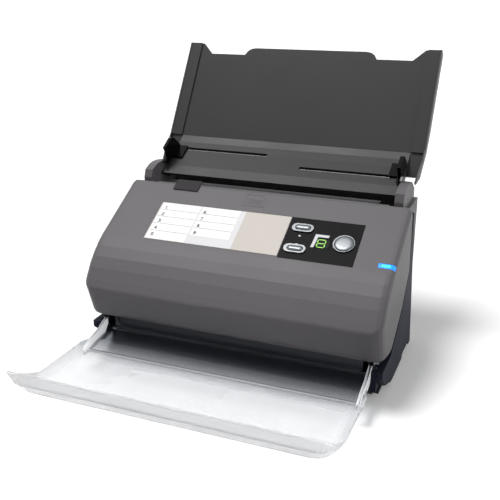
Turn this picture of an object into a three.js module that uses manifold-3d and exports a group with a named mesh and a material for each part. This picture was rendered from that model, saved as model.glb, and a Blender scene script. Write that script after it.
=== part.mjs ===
// Document scanner with a hinged front cover, an input chute and a clear output tray.
// Millimetres, +Z up, +Y to the back. The origin is on the table, under the middle of the
// whole object with its chute and its tray open.

import * as THREE from 'three';
import { mergeVertices } from 'three/addons/utils/BufferGeometryUtils.js';
import Module from 'manifold-3d';

const wasm = await Module();
wasm.setup();

// Driving sizes of the whole body
const bodyWidth = 290;
const coverHeight = 160;      // height of the cover's rear edge
const noseReach = 112;        // rear edge of the cover to its nose
const backReach = 60;         // rear edge of the cover to the back wall
const paperWidth = 246;       // widest sheet that the path takes
const wall = 2.5;             // moulded walls
const gap = 0.3;              // between pieces that touch
const runningGap = 1;         // between pieces that move past each other
const overrun = 20;           // how far cutting tools pass what they cut
const arcSteps = 4;
const roundSteps = 24;

const halfBody = bodyWidth / 2;
const fromSide = (inset) => halfBody - inset;
const fromNose = (inset) => inset - noseReach;
const halfPaper = paperWidth / 2;

// The reach of the tray at the front and of the chute at the back set the origin
const trayReach = 237;
const chuteReach = 140.6;
const originShift = (trayReach - chuteReach) / 2;

// Colours and finishes
const finish = (color, roughness, metalness = 0) =>
  new THREE.MeshStandardMaterial({ color, roughness, metalness });
const greyShell = finish(0x6f6d70, 0.5);
const navyPlastic = finish(0x3a3e48, 0.5);
const blackPlastic = finish(0x17181b, 0.45);
const chutePlastic = finish(0x4b494c, 0.5);
const panelPlastic = finish(0x2a282b, 0.35);
const labelSheet = finish(0xe8e6e2, 0.6);
const silver = finish(0xc9c9cb, 0.3, 0.4);
const clearPlastic = finish(0xd8dde0, 0.15);
const darkGlass = finish(0x0f1a14, 0.1);
const lightPipe = finish(0x4aa8ff, 0.2);
const steel = finish(0xa8aaad, 0.35, 0.9);
const rubber = finish(0x222224, 0.85);
const gearPlastic = finish(0xe6e2d6, 0.5);
const boardGreen = finish(0x1f5a34, 0.6);

const scanner = new THREE.Group();

// Puts one piece in the scanner
function add(name, geometry, material) {
  geometry.translate(0, originShift, 0);
  const mesh = new THREE.Mesh(geometry, material);
  mesh.name = name;
  scanner.add(mesh);
  return mesh;
}

const mergeTolerance = 0.0001;

// Closed mesh to solid, and back
function toSolid(geometry) {
  const bare = geometry.clone();
  bare.deleteAttribute('normal');
  bare.deleteAttribute('uv');
  const merged = mergeVertices(bare, mergeTolerance);
  const mesh = new wasm.Mesh({
    numProp: 3,
    vertProperties: new Float32Array(merged.attributes.position.array),
    triVerts: new Uint32Array(merged.index.array),
  });
  return new wasm.Manifold(mesh);
}

function toGeometry(solid) {
  const mesh = solid.getMesh();
  const geometry = new THREE.BufferGeometry();
  geometry.setAttribute('position', new THREE.BufferAttribute(mesh.vertProperties, 3));
  geometry.setIndex(new THREE.BufferAttribute(mesh.triVerts, 1));
  return geometry;
}

const cut = (body, ...tools) =>
  toGeometry(tools.reduce((left, tool) => left.subtract(toSolid(tool)), toSolid(body)));
const join = (body, ...others) =>
  toGeometry(others.reduce((whole, other) => whole.add(toSolid(other)), toSolid(body)));
const common = (body, other) => toGeometry(toSolid(body).intersect(toSolid(other)));

// Outline [y, z] carried along X from x0 to x1
function alongX(points, x0, x1) {
  const shape = new THREE.Shape(points.map(([y, z]) => new THREE.Vector2(y, z)));
  const solid = new THREE.ExtrudeGeometry(shape, { depth: x1 - x0, bevelEnabled: false, steps: 1 });
  const turn = new THREE.Matrix4().makeBasis(
    new THREE.Vector3(0, 1, 0), new THREE.Vector3(0, 0, 1), new THREE.Vector3(1, 0, 0));
  solid.applyMatrix4(turn);
  solid.translate(x0, 0, 0);
  return solid;
}

// Outline [x, z] carried along Y from y0 to y1
function alongY(points, y0, y1) {
  const shape = new THREE.Shape(points.map(([x, z]) => new THREE.Vector2(x, z)));
  const solid = new THREE.ExtrudeGeometry(shape, { depth: y1 - y0, bevelEnabled: false, steps: 1 });
  solid.applyMatrix4(new THREE.Matrix4().makeBasis(
    new THREE.Vector3(1, 0, 0), new THREE.Vector3(0, 0, 1), new THREE.Vector3(0, -1, 0)));
  solid.translate(0, y1, 0);
  return solid;
}

// Outline [a, b] in a plane seen from the side, carried along X from x0 to x1
const slanted = (frame, points, x0, x1) => alongX(points.map(([a, b]) => frame.at(a, b)), x0, x1);

// A plane seen from the side: at(a, b) gives [y, z]
function sideFrame(y, z, degrees) {
  const angle = THREE.MathUtils.degToRad(degrees);
  const along = [Math.cos(angle), Math.sin(angle)];
  const across = [-Math.sin(angle), Math.cos(angle)];
  return {
    degrees,
    angle,
    at: (a, b) => [y + along[0] * a + across[0] * b, z + along[1] * a + across[1] * b],
  };
}

// Outline in the plane's own (x, a), raised from b0 to b1
function onFrame(frame, points, b0, b1) {
  const shape = new THREE.Shape(points.map(([x, a]) => new THREE.Vector2(x, a)));
  const solid = new THREE.ExtrudeGeometry(shape, { depth: b1 - b0, bevelEnabled: false, steps: 1 });
  solid.translate(0, 0, b0);
  const [y, z] = frame.at(0, 0);
  const along = new THREE.Vector3(0, Math.cos(frame.angle), Math.sin(frame.angle));
  const across = new THREE.Vector3(0, -Math.sin(frame.angle), Math.cos(frame.angle));
  solid.applyMatrix4(new THREE.Matrix4().makeBasis(new THREE.Vector3(1, 0, 0), along, across));
  solid.translate(0, y, z);
  return solid;
}

const rectangle = (a0, a1, b0, b1) => [[a0, b0], [a1, b0], [a1, b1], [a0, b1]];

// Rectangle with round corners
function roundedRectangle(a0, a1, b0, b1, radius, steps = arcSteps) {
  const corners = [[a1, b0], [a1, b1], [a0, b1], [a0, b0]];
  return filleted(corners, corners.map(() => radius), steps);
}

// Polygon whose corners are rounded, each by its own radius
function filleted(points, radii, steps = arcSteps) {
  const outline = [];
  points.forEach((point, i) => {
    const radius = radii[i];
    const before = points[(i + points.length - 1) % points.length];
    const after = points[(i + 1) % points.length];
    if (!radius) {
      outline.push(point);
      return;
    }
    const corner = new THREE.Vector2(...point);
    const toBefore = new THREE.Vector2(...before).sub(corner).normalize();
    const toAfter = new THREE.Vector2(...after).sub(corner).normalize();
    const half = Math.acos(THREE.MathUtils.clamp(toBefore.dot(toAfter), -1, 1)) / 2;
    const middle = toBefore.clone().add(toAfter).normalize();
    const centre = corner.clone().addScaledVector(middle, radius / Math.sin(half));
    const start = corner.clone().addScaledVector(toBefore, radius / Math.tan(half)).sub(centre);
    const turn = Math.PI - 2 * half;
    const side = Math.sign(toBefore.cross(toAfter)) || 1;
    for (let k = 0; k <= steps; k += 1) {
      const spoke = start.clone().rotateAround(new THREE.Vector2(), side * -1 * turn * k / steps);
      outline.push([centre.x + spoke.x, centre.y + spoke.y]);
    }
  });
  return outline;
}

// Round bar along X about [y, z]
function bar([y, z], radius, x0, x1, segments = roundSteps) {
  const solid = new THREE.CylinderGeometry(radius, radius, x1 - x0, segments);
  solid.rotateZ(-Math.PI / 2);
  solid.translate((x0 + x1) / 2, y, z);
  return solid;
}

// Ring along X about [y, z]
function ring([y, z], outer, inner, x0, x1, segments = roundSteps) {
  const profile = [[inner, x0], [outer, x0], [outer, x1], [inner, x1], [inner, x0]];
  const solid = new THREE.LatheGeometry(profile.map(([r, x]) => new THREE.Vector2(r, x)), segments);
  solid.rotateZ(-Math.PI / 2);
  solid.translate(0, y, z);
  return solid;
}

const box = (x0, x1, y0, y1, z0, z1) => {
  const solid = new THREE.BoxGeometry(x1 - x0, y1 - y0, z1 - z0);
  solid.translate((x0 + x1) / 2, (y0 + y1) / 2, (z0 + z1) / 2);
  return solid;
};

// Mirror an X span: side -1 is left, +1 is right
const span = (side, near, far) => (side > 0 ? [near, far] : [-far, -near]);
const sides = [['left', -1], ['right', 1]];

// Skin through sections [x, points[y, z]] that all have the same number of points
function skin(rings, flat) {
  const count = rings[0].length;
  const index = [];
  for (let i = 0; i + 1 < rings.length; i += 1) {
    for (let j = 0; j < count; j += 1) {
      const next = (j + 1) % count;
      const [a, b] = [i * count + j, i * count + next];
      const [c, d] = [(i + 1) * count + j, (i + 1) * count + next];
      index.push(a, b, d, a, d, c);
    }
  }
  const last = (rings.length - 1) * count;
  const cap = (ring) => {
    const contour = ring.map(flat);
    const faces = THREE.ShapeUtils.triangulateShape(contour, []);
    return THREE.ShapeUtils.isClockWise(contour) ? faces.map(([a, b, c]) => [a, c, b]) : faces;
  };
  cap(rings[0]).forEach(([a, b, c]) => index.push(a, c, b));
  cap(rings[rings.length - 1]).forEach(([a, b, c]) => index.push(last + a, last + b, last + c));
  return outward(rings.flat(2), index);
}
function loft(sections) {
  const rings = sections.map(({ x, points }) => points.map(([y, z]) => [x, y, z]));
  return skin(rings, ([, y, z]) => new THREE.Vector2(y, z));
}

// Geometry whose faces all look outward
function outward(positions, index) {
  const corner = (i) => new THREE.Vector3().fromArray(positions, index[i] * 3);
  let volume = 0;
  for (let i = 0; i < index.length; i += 3) {
    volume += corner(i).dot(corner(i + 1).cross(corner(i + 2)));
  }
  if (volume < 0) {
    index.reverse();
  }
  const geometry = new THREE.BufferGeometry();
  geometry.setAttribute('position', new THREE.Float32BufferAttribute(positions, 3));
  geometry.setIndex(index);
  return geometry;
}

// Polygon with each edge moved in by its own distance
function insetPolygon(points, distances) {
  const lines = points.map((point, i) => {
    const next = points[(i + 1) % points.length];
    const along = new THREE.Vector2(...next).sub(new THREE.Vector2(...point)).normalize();
    const inward = new THREE.Vector2(-along.y, along.x);
    return { along, start: new THREE.Vector2(...point).addScaledVector(inward, distances[i]) };
  });
  return lines.map((line, i) => {
    const before = lines[(i + lines.length - 1) % lines.length];
    const reach = line.start.clone().sub(before.start).cross(line.along)
      / before.along.cross(line.along);
    const corner = before.start.clone().addScaledVector(before.along, reach);
    return [corner.x, corner.y];
  });
}

// Spur gear or pinion about [y, z], seen along X, with slender teeth that leave play
function gear([y, z], teeth, module, x0, x1, bore, turn = 0) {
  const pitch = teeth * module / 2;
  const root = pitch - toothRootShare * module;
  const tip = pitch + toothTipShare * module;
  const outline = [];
  for (let i = 0; i < teeth; i += 1) {
    const middle = (i + turn) * 2 * Math.PI / teeth;
    const step = 2 * Math.PI / teeth;
    toothShares.forEach(([shareOfStep, atTip]) => {
      const angle = middle + shareOfStep * step;
      const radius = atTip ? tip : root;
      outline.push([y + radius * Math.cos(angle), z + radius * Math.sin(angle)]);
    });
  }
  const body = alongX(outline, x0, x1);
  return bore ? cut(body, bar([y, z], bore, x0 - overrun, x1 + overrun)) : body;
}
const toothShares = [[-0.24, 0], [-0.1, 1], [0.1, 1], [0.24, 0]];
const toothRootShare = 1.2;
const toothTipShare = 0.85;

// Frames seen from the side: the cover's top slope, the paper path and the input chute
const topSlope = 30;
const pathSlope = 50.5;
const chuteSlope = 57.9;
const throat = [6, 157];
const chutePivot = [38, 158];
const coverTop = sideFrame(0, coverHeight, topSlope);
const path = sideFrame(...throat, pathSlope);
const chute = sideFrame(...chutePivot, chuteSlope);
const topAt = (back, rise) => coverTop.at(-back, rise);
const pathAt = (down, toCover) => path.at(-down, toCover);

// Cover outline seen from the side, as shares of the nose reach and the cover height
const coverShares = [
  [0, 1], [-0.852, 0.656], [-0.998, 0.479], [-0.897, 0.275], [-0.598, 0.231], [-0.196, 0.4],
  [0.036, 0.575],
];
const coverCorners = coverShares.map(([y, z]) => [y * noseReach, z * coverHeight]);
const coverFillets = { rear: 5, bend: 90, crease: 5, chin: 12, heel: 10, belly: 10, back: 8 };
const edgeRounds = { top: 4.5, bend: 8, front: 12, under: 5, parting: 0.6 };
const coverRadii = Object.values(coverFillets);
const coverRounds = [edgeRounds.top, edgeRounds.bend, edgeRounds.front, edgeRounds.under,
  edgeRounds.parting, edgeRounds.parting, edgeRounds.parting];
const coverEdges = { open: 4 };   // the first edge that faces the body

// Cover section at a distance x from the middle, moved in by a wall
function coverSection(x, halfWidth, inset, open) {
  const distances = coverRounds.map((round, i) => {
    if (open && i >= coverEdges.open) {
      return -overrun;
    }
    const radius = Math.max(round - inset, edgeRounds.parting);
    const past = Math.max(0, Math.abs(x) - (halfWidth - radius));
    return inset + radius - Math.sqrt(Math.max(0, radius * radius - past * past));
  });
  const radii = coverRadii.map((radius) => Math.max(radius - inset, edgeRounds.parting));
  return filleted(insetPolygon(coverCorners, distances), radii);
}

const stationShares = [1, 0.93, 0.75, 0.5, 0.25, 0];
function coverBody(halfWidth, inset, open) {
  const deep = edgeRounds.front;
  const stations = stationShares.map((share) => halfWidth - deep * (1 - share));
  const all = [...stations.map((x) => -x), ...stations.reverse()];
  return loft(all.map((x) => ({ x, points: coverSection(x, halfWidth, inset, open) })));
}

// Hinge line of the cover, low behind the nose
const coverHinge = [fromNose(25), 54.8];
const hinge = {
  pin: 3, bore: 3.3, head: 5.5, sweep: 12.3, bracketIn: fromSide(13.5), bracketOut: fromSide(8.5),
  pinIn: fromSide(15), pinOut: fromSide(3.5), bossIn: fromSide(7.4), boss: 6,
};
const innerSide = halfBody - wall;

// Catch, label, panel and light bar on the top face: distances left to right and down the slope
const catchPlace = {
  left: -fromSide(50.3), right: -fromSide(77.3), near: 0.6, far: 14.6, lip: 1.2, proud: 0.8, travel: 3,
};
const labelPlace = { left: -fromSide(47), right: fromSide(106.3), near: 33.5, far: 82, thick: 0.3 };
const panelPlace = {
  left: fromSide(106), right: fromSide(36.8), near: 33.5, far: 83.5, thick: 1.2, sunk: 0.9,
};
const plusPlace = { x: fromSide(92.4), down: 46.3 };
const minusPlace = { x: fromSide(92.9), down: 71.8 };
const pill = { long: 20.5, wide: 9.5 };
const scanPlace = { x: fromSide(50.3), down: 59.4, radius: 9.9 };
const displayPlace = { left: fromSide(77.1), right: fromSide(62.9), near: 56, far: 67 };
const lightPlace = { left: fromSide(15.3), near: 75, far: 79.8, deep: 3 };

// Round cap or hole standing on the top face
function topDisc(x, down, radius, low, high, segments = roundSteps) {
  const disc = new THREE.CylinderGeometry(radius, radius, high - low, segments);
  disc.rotateX(Math.PI / 2);
  disc.translate(0, 0, (low + high) / 2);
  const along = new THREE.Vector3(0, Math.cos(coverTop.angle), Math.sin(coverTop.angle));
  const across = new THREE.Vector3(0, -Math.sin(coverTop.angle), Math.cos(coverTop.angle));
  disc.applyMatrix4(new THREE.Matrix4().makeBasis(new THREE.Vector3(1, 0, 0), along, across));
  const [y, z] = topAt(down, 0);
  disc.translate(x, y, z);
  return disc;
}
const topBlock = (x0, x1, near, far, low, high) =>
  onFrame(coverTop, rectangle(x0, x1, -far, -near), low, high);
const topPill = ({ x, down }, grow, low, high) => onFrame(coverTop, roundedRectangle(
  x - pill.long / 2 - grow, x + pill.long / 2 + grow,
  -down - pill.wide / 2 - grow, -down + pill.wide / 2 + grow, pill.wide / 2 + grow - gap), low, high);

// Cover: one hollow shell with hinge bosses on its side walls
const chinCut = { from: fromNose(26), height: 50, side: fromSide(14.1), notch: fromNose(15) };
let cover = cut(coverBody(halfBody, 0, false), coverBody(innerSide, wall, true));
cover = cut(cover, box(-innerSide, innerSide, chinCut.from, 0, 0, chinCut.height));
sides.forEach(([, side]) => {
  cover = cut(cover, bar(coverHinge, hinge.sweep, ...span(side, chinCut.side, hinge.bossIn - gap)));
  cover = cut(cover, box(...span(side, chinCut.side, hinge.bossIn - gap), chinCut.notch, 0, 0,
    chinCut.height));
  cover = join(cover, bar(coverHinge, hinge.boss, ...span(side, hinge.bossIn, innerSide + gap)));
  cover = cut(cover, bar(coverHinge, hinge.bore, ...span(side, hinge.bossIn - overrun, innerSide)));
});
const slotEnd = catchPlace.far - catchPlace.lip;
const catchStem = { near: 3, far: slotEnd - catchPlace.travel - gap, side: 2 };
cover = cut(cover,
  topBlock(catchPlace.left + catchStem.side - gap, catchPlace.right - catchStem.side + gap,
    -overrun, slotEnd, -overrun, overrun),
  topBlock(panelPlace.left - gap, panelPlace.right + gap, panelPlace.near - gap,
    panelPlace.far + gap, -panelPlace.sunk - gap, overrun));

// Openings in the top face for the label, the buttons, the display and the light bar
const labelPocket = { deep: 0.5, under: 0.2 };
const buttonRise = 1.4;
const buttonTravel = 1.2;
const buttonSkirt = 1;
const underPanel = -panelPlace.sunk - gap;
const boardPlace = { top: -8, thick: 1.6, left: fromSide(107), right: fromSide(37), near: 30, far: 80 };
const buttonFoot = -panelPlace.sunk - wall - buttonTravel - buttonSkirt;
cover = cut(cover,
  topBlock(labelPlace.left - gap, labelPlace.right - gap, labelPlace.near - gap,
    labelPlace.far + gap, -labelPocket.deep, overrun),
  topPill(plusPlace, gap + buttonSkirt, -overrun, 0),
  topPill(minusPlace, gap + buttonSkirt, -overrun, 0),
  topDisc(scanPlace.x, scanPlace.down, scanPlace.radius + gap + buttonSkirt, -overrun, 0),
  topBlock(displayPlace.left, displayPlace.right, displayPlace.near, displayPlace.far, -overrun, 0),
  topBlock(lightPlace.left - gap, halfBody + overrun, lightPlace.near - gap,
    lightPlace.far + gap, -lightPlace.deep - gap, overrun));
add('cover_shell', cover, greyShell);

const labelTop = labelPlace.thick - labelPocket.under;
add('label_plate', topBlock(labelPlace.left, labelPlace.right - gap - gap, labelPlace.near,
  labelPlace.far, -labelPocket.under, labelTop), labelSheet);

// Dark panel with its three buttons and its display
const panelTop = panelPlace.thick - panelPlace.sunk;
add('panel_bezel', cut(
  topBlock(panelPlace.left, panelPlace.right, panelPlace.near, panelPlace.far,
    -panelPlace.sunk, panelTop),
  topPill(plusPlace, gap, -overrun, overrun),
  topPill(minusPlace, gap, -overrun, overrun),
  topDisc(scanPlace.x, scanPlace.down, scanPlace.radius + gap, -overrun, overrun),
  topBlock(displayPlace.left - gap, displayPlace.right + gap, displayPlace.near - gap,
    displayPlace.far + gap, -overrun, overrun)), panelPlastic);
const flangeTop = -panelPlace.sunk - gap;
const buttonTop = panelTop + buttonRise;
const pillButton = (place) => join(
  topPill(place, 0, buttonFoot, buttonTop),
  topPill(place, buttonSkirt, flangeTop - buttonSkirt, flangeTop));
add('plus_button', pillButton(plusPlace), silver);
add('minus_button', pillButton(minusPlace), silver);
add('scan_button', join(
  topDisc(scanPlace.x, scanPlace.down, scanPlace.radius, buttonFoot, buttonTop),
  topDisc(scanPlace.x, scanPlace.down, scanPlace.radius + buttonSkirt, flangeTop - buttonSkirt,
    flangeTop)), silver);
add('display_window', topBlock(displayPlace.left + gap, displayPlace.right - gap,
  displayPlace.near + gap, displayPlace.far - gap, -wall - gap, panelTop), darkGlass);
const boardPost = { radius: 2.5, inset: 4, rowInset: 34 };
const boardPosts = [
  [boardPlace.left + boardPost.inset, boardPlace.near + boardPost.inset],
  [boardPlace.right - boardPost.inset, boardPlace.near + boardPost.inset],
  [boardPlace.left + boardPost.rowInset, boardPlace.far - boardPost.inset],
  [boardPlace.right - boardPost.inset, boardPlace.far - boardPost.inset],
];
add('control_board', join(topBlock(boardPlace.left, boardPlace.right, boardPlace.near,
  boardPlace.far, boardPlace.top - boardPlace.thick, boardPlace.top),
...boardPosts.map(([x, down]) => topDisc(x, down, boardPost.radius, boardPlace.top - gap,
  -wall - gap))), boardGreen);
add('status_light', common(
  topBlock(lightPlace.left, halfBody, lightPlace.near, lightPlace.far, -lightPlace.deep, overrun),
  coverBody(halfBody, 0, false)), lightPipe);

// Catch at the left of the rear edge, with the latch bar that it moves
const catchFoot = {
  deep: 4.6, thick: 1.6, reach: fromSide(49), near: 5, far: 9.5, hookIn: fromSide(37), hook: fromSide(27),
};
add('release_catch', join(
  topBlock(catchPlace.left, catchPlace.right, catchPlace.near, catchPlace.far, gap,
    catchPlace.proud + gap),
  topBlock(catchPlace.left + catchStem.side, catchPlace.right - catchStem.side, catchStem.near,
    catchStem.far, -catchFoot.deep + gap, catchPlace.proud)), panelPlastic);
add('latch_bar', join(
  topBlock(-catchFoot.hook, catchFoot.hook, catchFoot.near, catchFoot.far,
    -catchFoot.deep - catchFoot.thick, -catchFoot.deep),
  topBlock(-catchFoot.hook, -catchFoot.hookIn, catchPlace.near + gap, catchFoot.far,
    -catchFoot.deep - catchFoot.thick, -catchFoot.deep),
  topBlock(catchFoot.hookIn, catchFoot.hook, catchPlace.near + gap, catchFoot.far,
    -catchFoot.deep - catchFoot.thick, -catchFoot.deep)), steel);

// Paper path: stations down the path from the throat, depths square to it
const station = { pick: 30, feed: 58, scan: 85, exit: 112, start: 5, coverStart: 18, end: 124 };
const pickRoll = { radius: 14, from: 9, to: 27 };
const roll = { radius: 7, from: 37, to: 53, shaft: 3 };
const pinch = { radius: 5, from: 38, to: 52, shaft: 1.6 };
const paperGap = 1;           // each guide plate to the middle of the path
const plate = 2.2;
const guideSide = halfPaper + runningGap;
const depth = (radius) => radius + gap / 2;
const pickAxis = pathAt(station.pick, -depth(pickRoll.radius));
const feedAxis = pathAt(station.feed, -depth(roll.radius));
const exitAxis = pathAt(station.exit, -depth(roll.radius));
const module = {
  half: 9, low: 3.5, high: 20, side: fromSide(27), glass: 7.5, glassLow: 1, glassSide: fromSide(33),
};
const pathBlock = (x0, x1, from, to, low, high) => onFrame(path,
  rectangle(x0, x1, -to, -from), low, high);

function windows(body, radii, low, high) {
  const [pick, drive] = radii;
  const tools = [pathBlock(-module.glassSide - gap, module.glassSide + gap,
    station.scan - module.glass - gap, station.scan + module.glass + gap, low, high)];
  sides.forEach(([, side]) => {
    const near = runningGap;
    if (pick) {
      tools.push(pathBlock(...span(side, pickRoll.from - near, pickRoll.to + near),
        station.pick - pick, station.pick + pick, low, high));
    }
    [station.feed, station.exit].forEach((place) => tools.push(pathBlock(
      ...span(side, roll.from - near, roll.to + near), place - drive, place + drive, low, high)));
  });
  return cut(body, ...tools);
}

// Guide plate of the cover, with a window for the pad and the pinch rollers
const coverGuideBody = slanted(path, rectangle(-station.end, -station.coverStart, paperGap,
  paperGap + plate), -guideSide, guideSide);
const padSize = { half: 11, thick: 3.5 };
const padHole = padSize.half + runningGap;
add('cover_guide', cut(windows(coverGuideBody, [0, roll.radius], -overrun, overrun),
  pathBlock(-pickRoll.to - runningGap, pickRoll.to + runningGap, station.pick - padHole,
    station.pick + padHole, -overrun, overrun)), blackPlastic);
add('upper_scan_module', pathBlock(-module.side, module.side, station.scan - module.half,
  station.scan + module.half, module.low, module.high), blackPlastic);
add('upper_scan_glass', pathBlock(-module.glassSide, module.glassSide,
  station.scan - module.glass, station.scan + module.glass, module.glassLow,
  module.low - gap), darkGlass);
add('separation_pad', pathBlock(-pickRoll.to, pickRoll.to, station.pick - padSize.half,
  station.pick + padSize.half, gap, padSize.thick), rubber);

// Pinch rollers on one shaft each
const pinchAxis = (place) => pathAt(place, depth(pinch.radius));
function rollerSet(axis, shaftRadius, radius, from, to, reach) {
  let body = bar(axis, shaftRadius, -reach, reach);
  sides.forEach(([, side]) => {
    body = join(body, bar(axis, radius, ...span(side, from, to)));
  });
  return body;
}
const pinchReach = 60;
add('feed_pinch_rollers', rollerSet(pinchAxis(station.feed), pinch.shaft, pinch.radius,
  pinch.from, pinch.to, pinchReach), rubber);
add('exit_pinch_rollers', rollerSet(pinchAxis(station.exit), pinch.shaft, pinch.radius,
  pinch.from, pinch.to, pinchReach), rubber);

// Body side of the paper path, with the lip that takes the sheets over from the chute
const lipReach = 17;
const lipTop = 154.5;
const guideTop = pathAt(station.start, -paperGap);
const guideBack = pathAt(station.start + plate, -paperGap - plate);
const feedGuideOutline = [
  pathAt(station.end, -paperGap), pathAt(station.end, -paperGap - plate), guideBack,
  [lipReach, lipTop - plate], [lipReach, lipTop], [guideTop[0] + plate, guideTop[1] + plate], guideTop,
];
const lipSide = fromSide(33.5);
const feedGuideSlab = alongX(feedGuideOutline, -guideSide, guideSide);
const lipTrim = (side) => box(...span(side, lipSide, guideSide + overrun), guideTop[0] + plate,
  lipReach + overrun, guideTop[1] - plate, lipTop + overrun);
const passSide = fromSide(23.2);
const passTrim = (side) => box(...span(side, passSide, guideSide + overrun), -plate,
  lipReach + overrun, guideTop[1] - lipReach / 2, lipTop + overrun);
const feedGuideTrimmed = cut(feedGuideSlab, lipTrim(-1), lipTrim(1), passTrim(-1), passTrim(1));
const pickWindow = 11;
const driveWindow = 7.5;
add('feed_guide', windows(feedGuideTrimmed, [pickWindow, driveWindow], -overrun, 0),
  blackPlastic);
add('lower_scan_module', pathBlock(-module.side, module.side, station.scan - module.half,
  station.scan + module.half, -module.high, -module.low), blackPlastic);
add('lower_scan_glass', pathBlock(-module.glassSide, module.glassSide,
  station.scan - module.glass, station.scan + module.glass, -module.low + gap,
  -module.glassLow), darkGlass);

// Base pan, the dark wall under the exit slot and the four feet
const floorLow = 3.5;
const floorTop = 6;
const base = { front: fromNose(31), back: 56, side: fromSide(6), rim: 24, wall: 2.5 };
const baseOutline = [
  [base.front, floorLow], [base.back, floorLow], [base.back, floorTop],
  [base.front + base.wall, floorTop], [base.front + base.wall, base.rim], [base.front, base.rim],
];
const toe = { in: fromSide(10.2), front: fromNose(15), back: fromNose(30.4), top: 35.4, low: 14 };
add('base_tray', cut(
  alongX(baseOutline, -base.side, base.side),
  box(toe.in - runningGap, base.side + overrun, -noseReach, base.front + base.wall + gap,
    0, base.rim + overrun),
  box(-base.side - overrun, -toe.in + runningGap, -noseReach, base.front + base.wall + gap,
    0, base.rim + overrun)), navyPlastic);
const ramp = { foot: -82.5, footTop: 24.6, knee: -76, kneeTop: 45, head: -70.5, headTop: 57, thick: 2 };
add('exit_ramp', alongX([
  [ramp.foot, ramp.footTop], [ramp.foot + ramp.thick, ramp.footTop - gap],
  [ramp.knee + ramp.thick, ramp.kneeTop], [ramp.head + ramp.thick, ramp.headTop],
  [ramp.head, ramp.headTop], [ramp.knee, ramp.kneeTop],
], -guideSide, guideSide), navyPlastic);
const foot = { side: fromSide(33), front: fromNose(50), back: 36, radius: 8, top: floorLow - gap };
[['front', foot.front], ['back', foot.back]].forEach(([end, y]) => {
  sides.forEach(([name, side]) => {
    const pad = new THREE.CylinderGeometry(foot.radius, foot.radius + gap, foot.top, roundSteps);
    pad.rotateX(Math.PI / 2);
    pad.translate(side * foot.side, y, foot.top / 2);
    add(`foot_${end}_${name}`, pad, rubber);
  });
});

// Side panels: outline as shares of the nose reach and the cover height
const panelShares = [
  [0.045, 0.93], [0.045, 0.568], [-0.188, 0.388], [-0.411, 0.284], [-0.554, 0.218],
  [-0.866, 0.216], [-0.866, 0.175], [-0.723, 0.088], [-0.464, 0.02], [-0.027, 0.018],
  [0.0, 0.045], [0.25, 0.045], [0.29, 0.016], [0.37, 0.012], [0.09, 0.935],
];
const panelOutline = panelShares.map(([y, z]) => [y * noseReach, z * coverHeight]);
const panelIn = fromSide(5.7);
const panelRound = 3;
const panelGrowShare = 0.985;
const panelMiddleShares = [-0.3, 0.25];
function sidePanel(side) {
  const middle = [panelMiddleShares[0] * noseReach, panelMiddleShares[1] * coverHeight];
  const shrunk = panelOutline.map(([y, z]) => [
    middle[0] + (y - middle[0]) * panelGrowShare, middle[1] + (z - middle[1]) * panelGrowShare]);
  const ends = [[panelIn, panelOutline], [halfBody - panelRound, panelOutline], [halfBody, shrunk]];
  const sections = ends.map(([x, points]) => ({ x: side * x, points }));
  return loft(side > 0 ? sections : sections.reverse());
}
const trayPivot = [fromNose(21.5), 34.5];
const trayPin = { radius: 2, bore: 2.3, out: fromSide(6.5), earIn: fromSide(13.1), earOut: fromSide(10.6) };
sides.forEach(([name, side]) => {
  const boss = box(...span(side, toe.in, panelIn + gap), toe.front + runningGap, toe.back,
    toe.low, toe.top - runningGap);
  const bossBack = alongX([[toe.front + overrun / 2, toe.low - overrun / 2],
    [toe.front - overrun, toe.low - overrun], [toe.front - overrun, toe.low + overrun / 2]],
  ...span(side, toe.in - overrun, panelIn));
  const panel = join(sidePanel(side), cut(boss, bossBack));
  add(`side_panel_${name}`, cut(panel,
    bar(trayPivot, trayPin.bore, ...span(side, toe.in - overrun, trayPin.out + gap))),
  navyPlastic);
});

// Rear casing: back wall, side walls, well for the chute and the two ears that carry it
const casing = { side: fromSide(6.1), skin: 2.5, low: 6.5, top: 150, back: backReach, deck: 128.5 };
const ear = { in: fromSide(18), out: fromSide(9.4), bore: 4, boreEnd: fromSide(13) };
const earShares = [
  [0.13, 0.8], [0.13, 0.92], [0.01, 0.92], [0.01, 0.994], [0.036, 1.041], [0.107, 1.0625],
  [0.17, 1.072], [0.25, 1.072],
  [0.357, 1.0625], [0.5, 1], [0.51, 0.8],
];
const earOutline = earShares.map(([y, z]) => [y * noseReach, z * coverHeight]);
const sideWallShares = [
  [0.3, 0.041], [0.52, 0.041], [0.536, 0.1], [0.536, 0.9375], [0.06, 0.9375], [0.06, 0.8],
];
const sideWallOutline = sideWallShares.map(([y, z]) => [y * noseReach, z * coverHeight]);
const well = { front: 13.5, frontTop: 151.5 };
let rearCasing = box(-casing.side, casing.side, casing.back - casing.skin, casing.back,
  casing.low, casing.top);
rearCasing = join(rearCasing, box(-casing.side, casing.side, well.front, casing.back - gap,
  casing.deck, casing.deck + casing.skin));
rearCasing = join(rearCasing, box(-lipSide, lipSide, well.front,
  well.front + casing.skin, casing.deck + gap, well.frontTop));
sides.forEach(([, side]) => {
  rearCasing = join(rearCasing, alongX(sideWallOutline,
    ...span(side, casing.side - casing.skin, casing.side)));
  rearCasing = join(rearCasing, alongX(earOutline, ...span(side, ear.in, ear.out)));
  rearCasing = join(rearCasing, box(...span(side, ear.out - gap, casing.side - gap),
    earOutline[0][0] + casing.skin + casing.skin, casing.back - gap, casing.top - casing.skin,
    casing.top));
  rearCasing = cut(rearCasing, bar(chutePivot, ear.bore, ...span(side, 0, ear.boreEnd)));
});

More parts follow.
